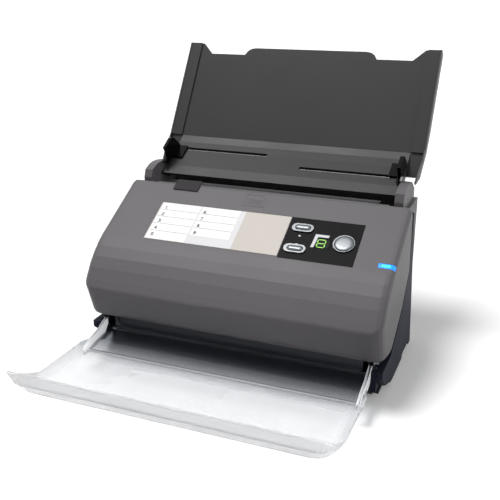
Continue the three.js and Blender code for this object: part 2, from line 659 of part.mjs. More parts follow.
// Sockets and switch in the back wall
const socketZ = 32;
const inlet = { x: fromSide(53), radius: 5.5, core: 1.2, deep: 12 };
const usb = { x: fromSide(85), wide: 12, high: 10.8, deep: 14, skin: 1 };
const rocker = { x: fromSide(27), wide: 10, high: 15, deep: 9, proud: 1.6, pivot: 2.5 };
const rearY = casing.back;
const rearHole = (x, wide, high) => box(x - wide / 2 - gap, x + wide / 2 + gap,
  rearY - overrun, rearY + overrun, socketZ - high / 2 - gap, socketZ + high / 2 + gap);
const inletBox = inlet.radius * 2 + 2 * casing.skin;
rearCasing = cut(rearCasing, rearHole(inlet.x, inletBox, inletBox),
  rearHole(usb.x, usb.wide, usb.high), rearHole(rocker.x, rocker.wide, rocker.high));
add('rear_casing', rearCasing, greyShell);

function rearRound(x, radius, y0, y1) {
  const plug = new THREE.CylinderGeometry(radius, radius, y1 - y0, roundSteps);
  plug.translate(x, (y0 + y1) / 2, socketZ);
  return plug;
}
const inletBlock = box(inlet.x - inletBox / 2, inlet.x + inletBox / 2, rearY - inlet.deep, rearY,
  socketZ - inletBox / 2, socketZ + inletBox / 2);
add('dc_inlet', join(
  cut(inletBlock, rearRound(inlet.x, inlet.radius, rearY - inlet.deep + casing.skin, rearY + overrun)),
  rearRound(inlet.x, inlet.core, rearY - inlet.deep + gap, rearY - runningGap)), blackPlastic);
const usbIn = { wide: usb.wide - 2 * usb.skin, high: usb.high - 2 * usb.skin };
const usbBlock = box(usb.x - usb.wide / 2, usb.x + usb.wide / 2, rearY - usb.deep, rearY,
  socketZ - usb.high / 2, socketZ + usb.high / 2);
const tongueHalf = usbIn.wide / 4;
add('usb_socket', join(
  cut(usbBlock, box(usb.x - usbIn.wide / 2, usb.x + usbIn.wide / 2, rearY - usb.deep + usb.skin,
    rearY + overrun, socketZ - usbIn.high / 2, socketZ + usbIn.high / 2)),
  box(usb.x - tongueHalf, usb.x + tongueHalf, rearY - usb.deep + gap, rearY - runningGap,
    socketZ - tongueHalf, socketZ + tongueHalf)), steel);
const rockerOutline = [
  [rearY - rocker.deep, socketZ - rocker.high / 4], [rearY, socketZ - rocker.high / 2 + gap],
  [rearY + rocker.proud, socketZ - rocker.high / 2 + runningGap], [rearY + gap, socketZ],
  [rearY + gap, socketZ + rocker.high / 2 - gap], [rearY - rocker.deep, socketZ + rocker.high / 4],
];
add('power_switch', alongX(rockerOutline, rocker.x - rocker.wide / 2 + gap,
  rocker.x + rocker.wide / 2 - gap), blackPlastic);

// Side frames that carry the shafts, with the brackets of the cover hinge
const frame = {
  in: fromSide(18.5), out: fromSide(17), top: 14, low: floorTop + gap, back: 50, front: fromNose(44),
};
const bushing = gap;
const frameOutline = [
  pathAt(frame.top, -paperGap - gap), pathAt(station.end, -paperGap - gap), [frame.front, frame.low],
  [frame.back, frame.low], [frame.back, casing.deck - runningGap],
  [well.front, casing.deck - runningGap], [well.front - runningGap, pathAt(frame.top, 0)[1]],
];
const bracketOutline = [
  [coverHinge[0], coverHinge[1] + hinge.head - gap], [coverHinge[0] - gap, coverHinge[1] - hinge.head + gap],
  [ramp.head, ramp.kneeTop], [ramp.head, floorTop + gap],
  [ramp.head + hinge.sweep, floorTop + gap],
  [ramp.head + hinge.sweep, coverHinge[1] - hinge.head],
  [ramp.head, coverHinge[1] + hinge.head - gap],
];
sides.forEach(([name, side]) => {
  const [x0, x1] = span(side, hinge.bracketIn, hinge.bracketOut);
  add(`hinge_bracket_${name}`, cut(
    join(alongX(bracketOutline, x0, x1), bar(coverHinge, hinge.head, x0, x1)),
    bar(coverHinge, hinge.bore, x0 - overrun, x1 + overrun)), steel);
  add(`hinge_pin_${name}`, bar(coverHinge, hinge.pin, ...span(side, hinge.pinIn, hinge.pinOut)),
    steel);
});

// Gear train on the left side: one module, the idler midway between feed and exit
const toothModule = 1;
const gearSpan = [-fromSide(9), -fromSide(15.5)];
const teeth = { feed: 20, exit: 20, pick: 16, motor: 12, small: 12 };
const between = (a, b) => Math.hypot(b[0] - a[0], b[1] - a[1]);
const halfway = [(feedAxis[0] + exitAxis[0]) / 2, (feedAxis[1] + exitAxis[1]) / 2];
const idlerTeeth = Math.floor(between(feedAxis, exitAxis) / toothModule) - teeth.feed;
const idlerAxis = halfway;
const idler = { axis: idlerAxis, teeth: idlerTeeth, turn: 0 };

// Gear that meshes with another one, its teeth set between the other's teeth
function meshed(other, axis, count) {
  const line = Math.atan2(axis[1] - other.axis[1], axis[0] - other.axis[0]);
  const place = line * other.teeth / (2 * Math.PI) - other.turn;
  return { axis, teeth: count, turn: (line + Math.PI) * count / (2 * Math.PI) - (1 / 2 - place) };
}
const feedGear = meshed(idler, feedAxis, teeth.feed);
const exitGear = meshed(idler, exitAxis, teeth.exit);
const motorAngle = THREE.MathUtils.degToRad(pathSlope - 90);
const motorReach = (idlerTeeth + teeth.motor) * toothModule / 2;
const motorCentre = [idlerAxis[0] + motorReach * Math.cos(motorAngle),
  idlerAxis[1] + motorReach * Math.sin(motorAngle)];
const motorGear = meshed(idler, motorCentre, teeth.motor);

const motorHole = 4.3;
sides.forEach(([name, side]) => {
  const [x0, x1] = span(side, frame.in, frame.out);
  const holes = [pickAxis, feedAxis, exitAxis].map(
    (axis) => bar(axis, roll.shaft + bushing, x0 - overrun, x1 + overrun));
  holes.push(bar(motorCentre, motorHole, -halfBody, 0));
  add(`frame_${name}`, cut(alongX(frameOutline, x0, x1), ...holes), steel);
});

// Centre of the small wheel that touches two others, on the body side of them
function touching(first, firstReach, second, secondReach) {
  const apart = between(first, second);
  const along = (firstReach ** 2 - secondReach ** 2 + apart ** 2) / (2 * apart);
  const off = Math.sqrt(firstReach ** 2 - along ** 2);
  const unit = [(second[0] - first[0]) / apart, (second[1] - first[1]) / apart];
  return [first[0] + unit[0] * along - unit[1] * off, first[1] + unit[1] * along + unit[0] * off];
}
const smallAxis = touching(feedAxis, (teeth.feed + teeth.small) * toothModule / 2,
  pickAxis, (teeth.pick + teeth.small) * toothModule / 2);
const smallGear = meshed(feedGear, smallAxis, teeth.small);
const pickGear = meshed(smallGear, pickAxis, teeth.pick);
const shaftBore = roll.shaft + gap;
const stub = { radius: 2, bore: 2.3, in: -fromSide(16.7), out: -fromSide(7.8) };
const wheel = ({ axis, teeth: count, turn }, bore) =>
  gear(axis, count, toothModule, gearSpan[0], gearSpan[1], bore, turn);
add('feed_gear', wheel(feedGear, shaftBore), gearPlastic);
add('exit_gear', wheel(exitGear, shaftBore), gearPlastic);
add('pick_gear', wheel(pickGear, shaftBore), gearPlastic);
add('idler_gear', wheel(idler, stub.bore), gearPlastic);
add('small_idler', wheel(smallGear, stub.bore), gearPlastic);
add('motor_pinion', join(wheel(motorGear, 0),
  bar(motorCentre, stub.radius, gearSpan[0], stub.in - gap)), steel);
add('idler_stub', bar(idlerAxis, stub.radius, stub.out, stub.in), steel);
add('small_idler_stub', bar(smallAxis, stub.radius, stub.out, stub.in), steel);

// Driven shafts with their rollers
const shaftSpan = [-fromSide(7.6), fromSide(15)];
function drivenShaft(axis, radius, from, to) {
  let body = bar(axis, roll.shaft, ...shaftSpan);
  sides.forEach(([, side]) => {
    body = join(body, bar(axis, radius, ...span(side, from, to)));
  });
  return body;
}
add('pick_rollers', drivenShaft(pickAxis, pickRoll.radius, pickRoll.from, pickRoll.to), rubber);
add('feed_rollers', drivenShaft(feedAxis, roll.radius, roll.from, roll.to), rubber);
add('exit_rollers', drivenShaft(exitAxis, roll.radius, roll.from, roll.to), rubber);

// Motor inside the left frame and the main board on the floor
const motorSize = { radius: 9.6, in: -fromSide(18.8), out: -fromSide(63), boss: 4 };
add('motor', join(bar(motorCentre, motorSize.radius, motorSize.in, motorSize.out),
  bar(motorCentre, motorSize.boss, motorSize.in - frame.out + frame.in - gap, motorSize.in)), steel);
const mainBoard = {
  left: -fromSide(75), right: fromSide(35), front: fromNose(57), back: 44, low: 12, thick: 1.6,
};
const standoff = { side: 10, radius: 3 };
const boardCorners = [[mainBoard.left, mainBoard.front], [mainBoard.right, mainBoard.front],
  [mainBoard.left, mainBoard.back], [mainBoard.right, mainBoard.back]];
const boardMiddle = [(mainBoard.left + mainBoard.right) / 2, (mainBoard.front + mainBoard.back) / 2];
let boardBody = box(mainBoard.left, mainBoard.right, mainBoard.front, mainBoard.back, mainBoard.low,
  mainBoard.low + mainBoard.thick);
boardCorners.forEach(([x, y]) => {
  const inX = x + Math.sign(boardMiddle[0] - x) * standoff.side;
  const inY = y + Math.sign(boardMiddle[1] - y) * standoff.side;
  const post = new THREE.CylinderGeometry(standoff.radius, standoff.radius,
    mainBoard.low + gap - floorTop - gap, roundSteps);
  post.rotateX(Math.PI / 2);
  post.translate(inX, inY, (mainBoard.low + gap + floorTop + gap) / 2);
  boardBody = join(boardBody, post);
});
add('main_board', boardBody, boardGreen);

// Input chute: sizes u along it from its pivot, n square to it, forward positive
const pan = {
  front: -13, thick: 3, top: 146, neckSide: fromSide(18.8), wingIn: fromSide(18), wingOut: fromSide(5.5),
  wingLow: 47,
  wingTop: 158, rim: -11.4, flange: fromSide(4), skirt: -22, chamferIn: fromSide(20.3),
};
const neckShares = [[-0.043, 0.092], [0.025, 0.06], [0.101, 0.016], [0.177, -0.028], [0.24, -0.062],
  [0.297, -0.0835], [0.36, -0.0835]];
const neckTop = neckShares.map(([u, n]) => [u * pan.wingTop, n * pan.wingTop]);
const neckBack = neckTop.map(([u, n]) => [u - pan.thick / 2, n - pan.thick]).reverse();
const chuteSlab = (x0, x1, points) => slanted(chute, points, x0, x1);
const panPlan = [[-pan.wingIn - gap, pan.wingLow], [pan.wingIn + gap, pan.wingLow],
  [pan.wingIn + gap, pan.wingTop], [pan.chamferIn, pan.wingTop],
  [pan.chamferIn - pan.wingTop + pan.top, pan.top],
  [-pan.chamferIn + pan.wingTop - pan.top, pan.top], [-pan.chamferIn, pan.wingTop],
  [-pan.wingIn - gap, pan.wingTop]];
// Each flange runs down the outside of its wing and draws in to the ear of the pan
const flangeShares = [[1, -0.1392, -0.0703, 0], [0.475, -0.1392, -0.0703, 0], [0.317, -0.1203, -0.0703, 0],
  [0.24, -0.101, -0.057, 0.0032], [0.152, -0.101, -0.0253, 0.0108], [0.139, -0.101, -0.022, 0.0125],
  [0.076, -0.038, -0.0127, 0.0196]];
const flangeRows = flangeShares.map(([u, back, front, drawnIn]) => [u * pan.wingTop,
  back * pan.wingTop, front * pan.wingTop, pan.wingOut - drawnIn * pan.wingTop]);
function strip(rows, side) {
  const rings = rows.map(([u, back, front, near]) => {
    const far = near + pan.flange - pan.wingOut;
    return [[near, back], [far, back], [far, front], [near, front]].map(([x, n]) => [
      side * x, ...chute.at(u, n)]);
  });
  return skin(rings, ([x, y]) => new THREE.Vector2(x, y));
}
// Below each wing a thin web between neck and flange carries the wing down to the ear
const webRows = flangeRows.slice(3, 6);
const webLow = webRows[webRows.length - 1][0];
function webPlan(side) {
  const near = side * (pan.neckSide - pan.thick);
  const outer = webRows.map(([u, , , x]) => [side * (x + gap), u]);
  return [[near, pan.wingLow + gap], [side * (pan.wingOut + gap), pan.wingLow + gap], ...outer,
    [near, webLow]];
}
let chutePan = onFrame(chute, panPlan, pan.front - pan.thick, pan.front);
chutePan = join(chutePan, chuteSlab(-pan.neckSide, pan.neckSide, [...neckTop, ...neckBack]));
sides.forEach(([, side]) => {
  const [a0, a1] = span(side, pan.wingIn, pan.wingOut + gap);
  const wingPlan = rectangle(a0, a1, pan.wingLow, pan.wingTop);
  chutePan = join(chutePan, onFrame(chute, wingPlan, pan.front - pan.thick, pan.rim),
    onFrame(chute, webPlan(side), pan.front - pan.thick, pan.front - gap), strip(flangeRows, side));
  const cheek = filleted([[neckTop[0][0] + pan.thick, neckTop[0][1] - pan.thick],
    [-pan.thick - pan.thick, -pan.thick], [0, -pan.thick - pan.thick],
    [pan.wingLow + pan.thick, pan.front - pan.thick - gap],
    ...neckTop.slice(2, -1).reverse().map(([u, n]) => [u, n - gap])],
  [0, pan.thick, pan.thick, 0, 0, 0, 0, 0]);
  chutePan = join(chutePan, chuteSlab(...span(side, pan.neckSide - pan.thick, pan.neckSide), cheek));
  chutePan = join(chutePan, bar(chutePivot, ear.bore - gap,
    ...span(side, pan.neckSide - gap, ear.boreEnd - gap)));
});

// Slots of the side guides in the neck of the chute
const rack = {
  u: 22, n: -0.95, slope: 28, pitch: 6, tooth: 1, back: 3, low: -7, high: -4,
  armEnd: fromSide(24), neckIn: fromSide(32), slotIn: 20, slotOut: fromSide(22.5), footIn: fromSide(33),
  footHalf: 9.5, foot: 2.3,
};
const rackPlane = sideFrame(...chute.at(rack.u, rack.n), rack.slope);
const neckNear = rack.pitch + gap;
const neckFar = neckNear + rack.back;
const slotFor = (side) => onFrame(rackPlane, rectangle(
  ...span(side, rack.slotIn, rack.slotOut),
  ...span(-side, neckNear - gap - gap, neckFar + gap)), rack.high - gap, overrun / 2);
const rail = { x: 75.3, out: 79, lip: 71, low: 50, high: 140, deep: -21, gap: 2.8 };
chutePan = cut(chutePan, slotFor(-1), slotFor(1));
sides.forEach(([, side]) => {
  chutePan = join(chutePan,
    onFrame(chute, rectangle(...span(side, rail.x, rail.out), rail.low, rail.high),
      rail.deep, pan.front - pan.thick + gap),
    onFrame(chute, rectangle(...span(side, rail.lip, rail.out), rail.low, rail.high),
      rail.deep, pan.front - pan.thick - rail.gap - gap));
});
add('chute_pan', chutePan, chutePlastic);

// Side guides with their racks, and the pinion that moves both alike
const guideShares = [[0.03, 0.062], [0.209, -0.04], [0.214, 0.075], [0.196, 0.114], [0.108, 0.158],
  [0.0763, 0.0924], [0.0246, 0.127]];
const guideOutline = guideShares.map(([u, n]) => [u * pan.wingTop, n * pan.wingTop]);
const guidePlate = { in: fromSide(22.3), out: fromSide(19) };
const pinion = { teeth: 12, module: 1, bore: 2.3, pin: 2 };
function rackTeeth(side) {
  const step = Math.PI * pinion.module;
  const count = Math.floor((rack.armEnd - overrun) / step);
  const foot = rack.pitch + toothRootShare * pinion.module;
  const tip = rack.pitch - toothTipShare * pinion.module;
  const outline = [];
  for (let i = -1; i < count; i += 1) {
    toothShares.forEach(([shareOfStep, atTip]) => {
      outline.push([(i + 1 / 2 + shareOfStep) * step, atTip ? tip : foot]);
    });
  }
  const end = outline[outline.length - 1][0];
  outline.push([rack.armEnd, foot], [rack.armEnd, foot + rack.back], [outline[0][0], foot + rack.back]);
  return { outline: outline.map(([x, a]) => [side * x, -side * a]), end };
}
sides.forEach(([name, side]) => {
  const arm = onFrame(rackPlane, rackTeeth(side).outline, rack.low, rack.high);
  const neck = onFrame(rackPlane, rectangle(...span(side, rack.neckIn, rack.armEnd),
    ...span(-side, neckNear + gap, neckFar)), rack.high - gap, rack.foot - gap);
  const foot = onFrame(rackPlane, rectangle(...span(side, rack.footIn, guidePlate.out - gap),
    -rack.footHalf, rack.footHalf), gap, rack.foot);
  const sidePlate = chuteSlab(...span(side, guidePlate.in, guidePlate.out), guideOutline);
  add(`side_guide_${name}`, join(arm, neck, foot, sidePlate), blackPlastic);
});
function onRackPlane(flat) {
  const along = new THREE.Vector3(0, Math.cos(rackPlane.angle), Math.sin(rackPlane.angle));
  const across = new THREE.Vector3(0, -Math.sin(rackPlane.angle), Math.cos(rackPlane.angle));
  const [y, z] = rackPlane.at(0, 0);
  flat.applyMatrix4(new THREE.Matrix4().makeBasis(new THREE.Vector3(1, 0, 0), along, across));
  flat.translate(0, y, z);
  return flat;
}
const pinionFlat = gear([0, 0], pinion.teeth, pinion.module, rack.low, rack.high, pinion.bore);
pinionFlat.applyMatrix4(new THREE.Matrix4().makeBasis(
  new THREE.Vector3(0, 0, 1), new THREE.Vector3(1, 0, 0), new THREE.Vector3(0, 1, 0)));
add('guide_pinion', onRackPlane(pinionFlat), gearPlastic);
const pinFlat = new THREE.CylinderGeometry(pinion.pin, pinion.pin, rack.high - rack.low, roundSteps);
pinFlat.rotateX(Math.PI / 2);
pinFlat.translate(0, 0, (rack.high + rack.low) / 2);
add('guide_pinion_pin', onRackPlane(pinFlat), steel);

// Pull-out extension behind the pan
const extension = { half: 75, low: 37, high: 156, thick: 2.5, grip: 30, round: 12, gripDeep: 6 };
const extensionPlan = roundedRectangle(-extension.half, extension.half, extension.low,
  extension.high, extension.round);
const extensionFront = pan.front - pan.thick - gap / 2;
add('chute_extension', onFrame(chute, extensionPlan, extensionFront - extension.thick,
  extensionFront - gap / 2), chutePlastic);

// Output tray: a clear scoop, from its hinge to its raised rim
const trayShares = [[-0.786, 0.1625], [-0.95, 0.15], [-1.143, 0.125], [-1.35, 0.124], [-1.55, 0.124],
  [-1.696, 0.125], [-1.84, 0.131], [-1.932, 0.156], [-2.022, 0.195], [-2.077, 0.25],
  [-2.0942, 0.3125]];
const trayProfile = trayShares.map(([y, z]) => [y * noseReach, z * coverHeight]);
const tray = {
  half: fromSide(6.2), neck: fromSide(10.6), neckEnd: fromNose(-6), wideFrom: fromNose(-12), thick: 2.5,
  corner: 30, tipCorner: 5, edge: 11,
  edgeRise: 7, tipDrop: 0.1, bend: fromNose(-73),
};
const columnShares = [-1, -0.99, -0.97, -0.945, -0.92, -0.88, -0.83, -0.78, -0.74, -0.5, 0,
  0.5, 0.74, 0.78, 0.83, 0.88, 0.92, 0.945, 0.97, 0.99, 1];
function trayPoint(columnShare, row, low) {
  const [y, z] = trayProfile[row];
  const before = trayProfile[Math.max(row - 1, 0)];
  const after = trayProfile[Math.min(row + 1, trayProfile.length - 1)];
  const along = new THREE.Vector2(after[0] - before[0], after[1] - before[1]).normalize();
  const half = y > tray.neckEnd ? tray.neck : y > tray.wideFrom ? (tray.neck + tray.half) / 2 : tray.half;
  const x = columnShare * half;
  const [reach, rim] = trayProfile[trayProfile.length - 1];
  const lift = Math.max(0, (z - trayProfile[4][1]) / (rim - trayProfile[4][1]));
  const corner = tray.corner + (tray.tipCorner - tray.corner) * lift;
  const past = Math.max(0, Math.abs(x) - (tray.half - corner));
  const drop = corner - Math.sqrt(Math.max(0, corner ** 2 - past ** 2));
  const share = Math.max(0, (y - tray.bend) / (reach - tray.bend));
  const shortened = y + drop * share;
  const lowered = z - (z - trayProfile[4][1]) * tray.tipDrop * Math.min(1, drop / corner);
  const rise = y > tray.wideFrom ? 0
    : tray.edgeRise * (1 - lift) * Math.max(0, 1 - (tray.half - Math.abs(x)) / tray.edge) ** 2;
  const down = low ? tray.thick : 0;
  return [x, shortened - along.y * down, lowered + rise + along.x * down];
}
function traySheet() {
  const columns = columnShares.length;
  const rows = trayProfile.length;
  const positions = [];
  const index = [];
  [false, true].forEach((low) => {
    for (let row = 0; row < rows; row += 1) {
      columnShares.forEach((share) => positions.push(...trayPoint(share, row, low)));
    }
  });
  const at = (low, row, column) => (low ? rows * columns : 0) + row * columns + column;
  const quad = (a, b, c, d) => index.push(a, b, c, a, c, d);
  for (let row = 0; row + 1 < rows; row += 1) {
    for (let column = 0; column + 1 < columns; column += 1) {
      quad(at(0, row, column), at(0, row + 1, column), at(0, row + 1, column + 1), at(0, row, column + 1));
      quad(at(1, row, column), at(1, row, column + 1), at(1, row + 1, column + 1), at(1, row + 1, column));
    }
    quad(at(0, row, 0), at(1, row, 0), at(1, row + 1, 0), at(0, row + 1, 0));
    quad(at(0, row, columns - 1), at(0, row + 1, columns - 1), at(1, row + 1, columns - 1),
      at(1, row, columns - 1));
  }
  for (let column = 0; column + 1 < columns; column += 1) {
    quad(at(0, 0, column), at(0, 0, column + 1), at(1, 0, column + 1), at(1, 0, column));
    quad(at(0, rows - 1, column), at(1, rows - 1, column), at(1, rows - 1, column + 1),
      at(0, rows - 1, column + 1));
  }
  return outward(positions, index);
}
const trayEarShares = [[-0.808, 0.231], [-0.86, 0.222], [-0.947, 0.192], [-1.098, 0.169],
  [-1.178, 0.14], [-1.178, 0.0875], [-1.0, 0.105], [-0.79, 0.15], [-0.775, 0.17], [-0.79, 0.21]];
const trayEar = trayEarShares.map(([y, z]) => [y * noseReach, z * coverHeight]);
const trayBar = { at: [fromNose(24.4), 27.2], radius: 2.4, side: fromSide(22) };
let outputTray = join(traySheet(), bar(trayBar.at, trayBar.radius, -trayBar.side, trayBar.side));
sides.forEach(([, side]) => {
  outputTray = join(outputTray, alongX(trayEar, ...span(side, trayPin.earIn, trayPin.earOut)));
  outputTray = join(outputTray, bar(trayPivot, trayPin.radius,
    ...span(side, trayPin.earOut - gap, trayPin.out)));
});
add('output_tray', outputTray, clearPlastic);

export default scanner;
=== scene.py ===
# Desktop document scanner: materials, printed details, light and camera
import math
import bpy
import bmesh
from mathutils import Matrix, Vector


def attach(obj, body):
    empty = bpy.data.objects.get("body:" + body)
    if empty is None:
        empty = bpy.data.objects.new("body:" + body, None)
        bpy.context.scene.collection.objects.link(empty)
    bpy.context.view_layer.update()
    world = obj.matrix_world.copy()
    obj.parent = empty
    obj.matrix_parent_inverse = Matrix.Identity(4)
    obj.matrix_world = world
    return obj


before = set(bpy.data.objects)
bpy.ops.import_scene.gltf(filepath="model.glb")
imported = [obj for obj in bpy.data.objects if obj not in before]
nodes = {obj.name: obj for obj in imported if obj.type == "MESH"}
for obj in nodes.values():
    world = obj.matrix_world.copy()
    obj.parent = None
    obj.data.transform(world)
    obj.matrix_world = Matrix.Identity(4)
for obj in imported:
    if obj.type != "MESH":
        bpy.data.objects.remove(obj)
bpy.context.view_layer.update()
print("frame loaded,", len(nodes), "nodes")

mm = 0.001
cover = {"behindMiddle": 48.2, "rearHeight": 160, "slope": 30}  # mm, mm and degrees

# places in mm behind the cover's rear edge and above the floor
wholeSpace = Matrix.Translation((0, cover["behindMiddle"] * mm, 0)) @ Matrix.Scale(mm, 4)
# the cover's top: x is across, y runs up the slope to the rear edge, z stands off it
topPlane = (wholeSpace @ Matrix.Translation((0, 0, cover["rearHeight"]))
            @ Matrix.Rotation(math.radians(cover["slope"]), 4, "X"))
looks = {}


# outlines as points in mm
def rect(x0, x1, y0, y1):
    return [(x0, y0), (x1, y0), (x1, y1), (x0, y1)]


def arc(x, y, radius, start, end, steps):
    angles = [math.radians(start + (end - start) * i / steps) for i in range(steps + 1)]
    return [(x + radius * math.cos(angle), y + radius * math.sin(angle)) for angle in angles]


def roundRect(x0, x1, y0, y1, radius, steps=6):
    corners = ((x1 - radius, y0 + radius, -90), (x1 - radius, y1 - radius, 0),
               (x0 + radius, y1 - radius, 90), (x0 + radius, y0 + radius, 180))
    points = []
    for x, y, start in corners:
        points += arc(x, y, radius, start, start + 90, steps)
    return points


def pillRing(x, y, long, wide, steps=10):
    radius = wide / 2
    reach = long / 2 - radius
    return (arc(x + reach, y, radius, -90, 90, steps)
            + arc(x - reach, y, radius, 90, 270, steps))


def discRing(x, y, radius, steps=48):
    return arc(x, y, radius, 0, 360, steps)[:-1]


# one bar for each stretch of a line, a little longer than it, so that the corners fill
def stroke(points, width):
    outlines = []
    for (x0, y0), (x1, y1) in zip(points, points[1:]):
        length = math.hypot(x1 - x0, y1 - y0)
        dx = (x1 - x0) / length * width / 2
        dy = (y1 - y0) / length * width / 2
        outlines.append([(x0 - dx + dy, y0 - dy - dx), (x1 + dx + dy, y1 + dy - dx),
                         (x1 + dx - dy, y1 + dy + dx), (x0 - dx - dy, y0 - dy + dx)])
    return outlines


# a bar with pointed ends, as one segment of the digit
def pointedBar(start, end, width):
    along = (Vector(end) - Vector(start)).normalized() * width / 2
    aside = Vector((along.y, -along.x))
    first = Vector(start)
    last = Vector(end)
    return [first, first + along + aside, last - along + aside,
            last, last - along - aside, first + along - aside]


# a closed skin through rows of points, capped at its first and last row
def closedSkin(bm, plane, rows):
    rings = [[bm.verts.new(plane @ Vector(point)) for point in row] for row in rows]
    bm.faces.new(list(reversed(rings[0])))
    bm.faces.new(rings[-1])
    for lower, upper in zip(rings, rings[1:]):
        for i in range(len(lower)):
            j = (i + 1) % len(lower)
            bm.faces.new((lower[i], lower[j], upper[j], upper[i]))


def makePiece(name, plane, skins, lookName, body):
    bm = bmesh.new()
    for rows in skins:
        closedSkin(bm, plane, rows)
    bmesh.ops.recalc_face_normals(bm, faces=bm.faces)
    mesh = bpy.data.meshes.new(name)
    bm.to_mesh(mesh)
    bm.free()
    mesh.materials.append(looks[lookName])
    obj = bpy.data.objects.new(name, mesh)
    bpy.context.scene.collection.objects.link(obj)
    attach(obj, body)
    return obj


# flat prints and small raised shapes on the cover's top, from one height to another
def slabs(name, outlines, heights, lookName, body):
    skins = [[[(x, y, height) for x, y in outline] for height in heights] for outline in outlines]
    return makePiece(name, topPlane, skins, lookName, body)


# node materials
def newMaterial(name):
    looks[name] = bpy.data.materials.new(name)
    looks[name].use_nodes = True
    tree = looks[name].node_tree
    tree.nodes.clear()
    output = tree.nodes.new("ShaderNodeOutputMaterial")
    shader = tree.nodes.new("ShaderNodeBsdfPrincipled")
    tree.links.new(shader.outputs["BSDF"], output.inputs["Surface"])
    return tree, shader, output


# a socket gets a link from another one, or a fixed value
def feed(tree, value, socket):
    if isinstance(value, bpy.types.NodeSocket):
        tree.links.new(value, socket)
    else:
        socket.default_value = value


def opaque(color):
    return (*color, 1)


def reckoned(tree, operation, *values):
    step = tree.nodes.new("ShaderNodeMath")
    step.operation = operation
    for i, value in enumerate(values):
        feed(tree, value, step.inputs[i])
    return step.outputs[0]


def ranged(tree, source, low, high, start=0, end=1, curve="LINEAR"):
    ramp = tree.nodes.new("ShaderNodeMapRange")
    ramp.interpolation_type = curve
    ramp.inputs["From Min"].default_value = start
    ramp.inputs["From Max"].default_value = end
    ramp.inputs["To Min"].default_value = low
    ramp.inputs["To Max"].default_value = high
    tree.links.new(source, ramp.inputs["Value"])
    return ramp.outputs["Result"]


def colorMix(tree, factor, first, second, blending="MIX"):
    mix = tree.nodes.new("ShaderNodeMix")
    mix.data_type = "RGBA"
    mix.blend_type = blending
    feed(tree, factor, mix.inputs["Factor"])
    feed(tree, first, mix.inputs["A"])
    feed(tree, second, mix.inputs["B"])
    return mix.outputs["Result"]


# noise over a piece, in the piece's own coordinates
def cloudy(tree, scale, detail, stretch=(1, 1, 1)):
    coords = tree.nodes.new("ShaderNodeTexCoord")
    mapping = tree.nodes.new("ShaderNodeMapping")
    mapping.inputs["Scale"].default_value = stretch
    noise = tree.nodes.new("ShaderNodeTexNoise")
    noise.inputs["Scale"].default_value = scale
    noise.inputs["Detail"].default_value = detail
    tree.links.new(coords.outputs["Object"], mapping.inputs["Vector"])
    tree.links.new(mapping.outputs["Vector"], noise.inputs["Vector"])
    return noise.outputs["Fac"]


# how far along an axis a point lies, in metres
def placeAlong(tree, axis):
    coords = tree.nodes.new("ShaderNodeTexCoord")
    split = tree.nodes.new("ShaderNodeSeparateXYZ")
    tree.links.new(coords.outputs["Object"], split.inputs["Vector"])
    return split.outputs[axis]


# 1 for what the camera sees, also in gloss and through the tray, and 0 for light on things
def seenByCamera(tree):
    path = tree.nodes.new("ShaderNodeLightPath")
    direct = reckoned(tree, "MAXIMUM", path.outputs["Is Camera Ray"], path.outputs["Is Glossy Ray"])
    return reckoned(tree, "MAXIMUM", direct, path.outputs["Is Transmission Ray"])


# what all finishes share: noise scale and detail of tint, gloss and grain, grain height in m
surface = {
    "tintScale": 14, "tintDetail": 4, "glossScale": 30, "glossDetail": 5,
    "grainDetail": 3, "grainHeight": 0.0002,
}


def tinted(tree, shader, color, spread, scale=surface["tintScale"], stretch=(1, 1, 1)):
    deeper = [channel * (1 - spread) for channel in color]
    paler = [min(1, channel * (1 + spread)) for channel in color]
    clouds = cloudy(tree, scale, surface["tintDetail"], stretch)
    mixed = colorMix(tree, clouds, opaque(deeper), opaque(paler))
    tree.links.new(mixed, shader.inputs["Base Color"])


def grained(tree, shader, scale, strength, height=surface["grainHeight"]):
    bump = tree.nodes.new("ShaderNodeBump")
    bump.inputs["Strength"].default_value = strength
    bump.inputs["Distance"].default_value = height
    tree.links.new(cloudy(tree, scale, surface["grainDetail"]), bump.inputs["Height"])
    tree.links.new(bump.outputs["Normal"], shader.inputs["Normal"])


def patchyGloss(tree, shader, low, high, scale=surface["glossScale"]):
    rough = ranged(tree, cloudy(tree, scale, surface["glossDetail"]), low, high)
    tree.links.new(rough, shader.inputs["Roughness"])


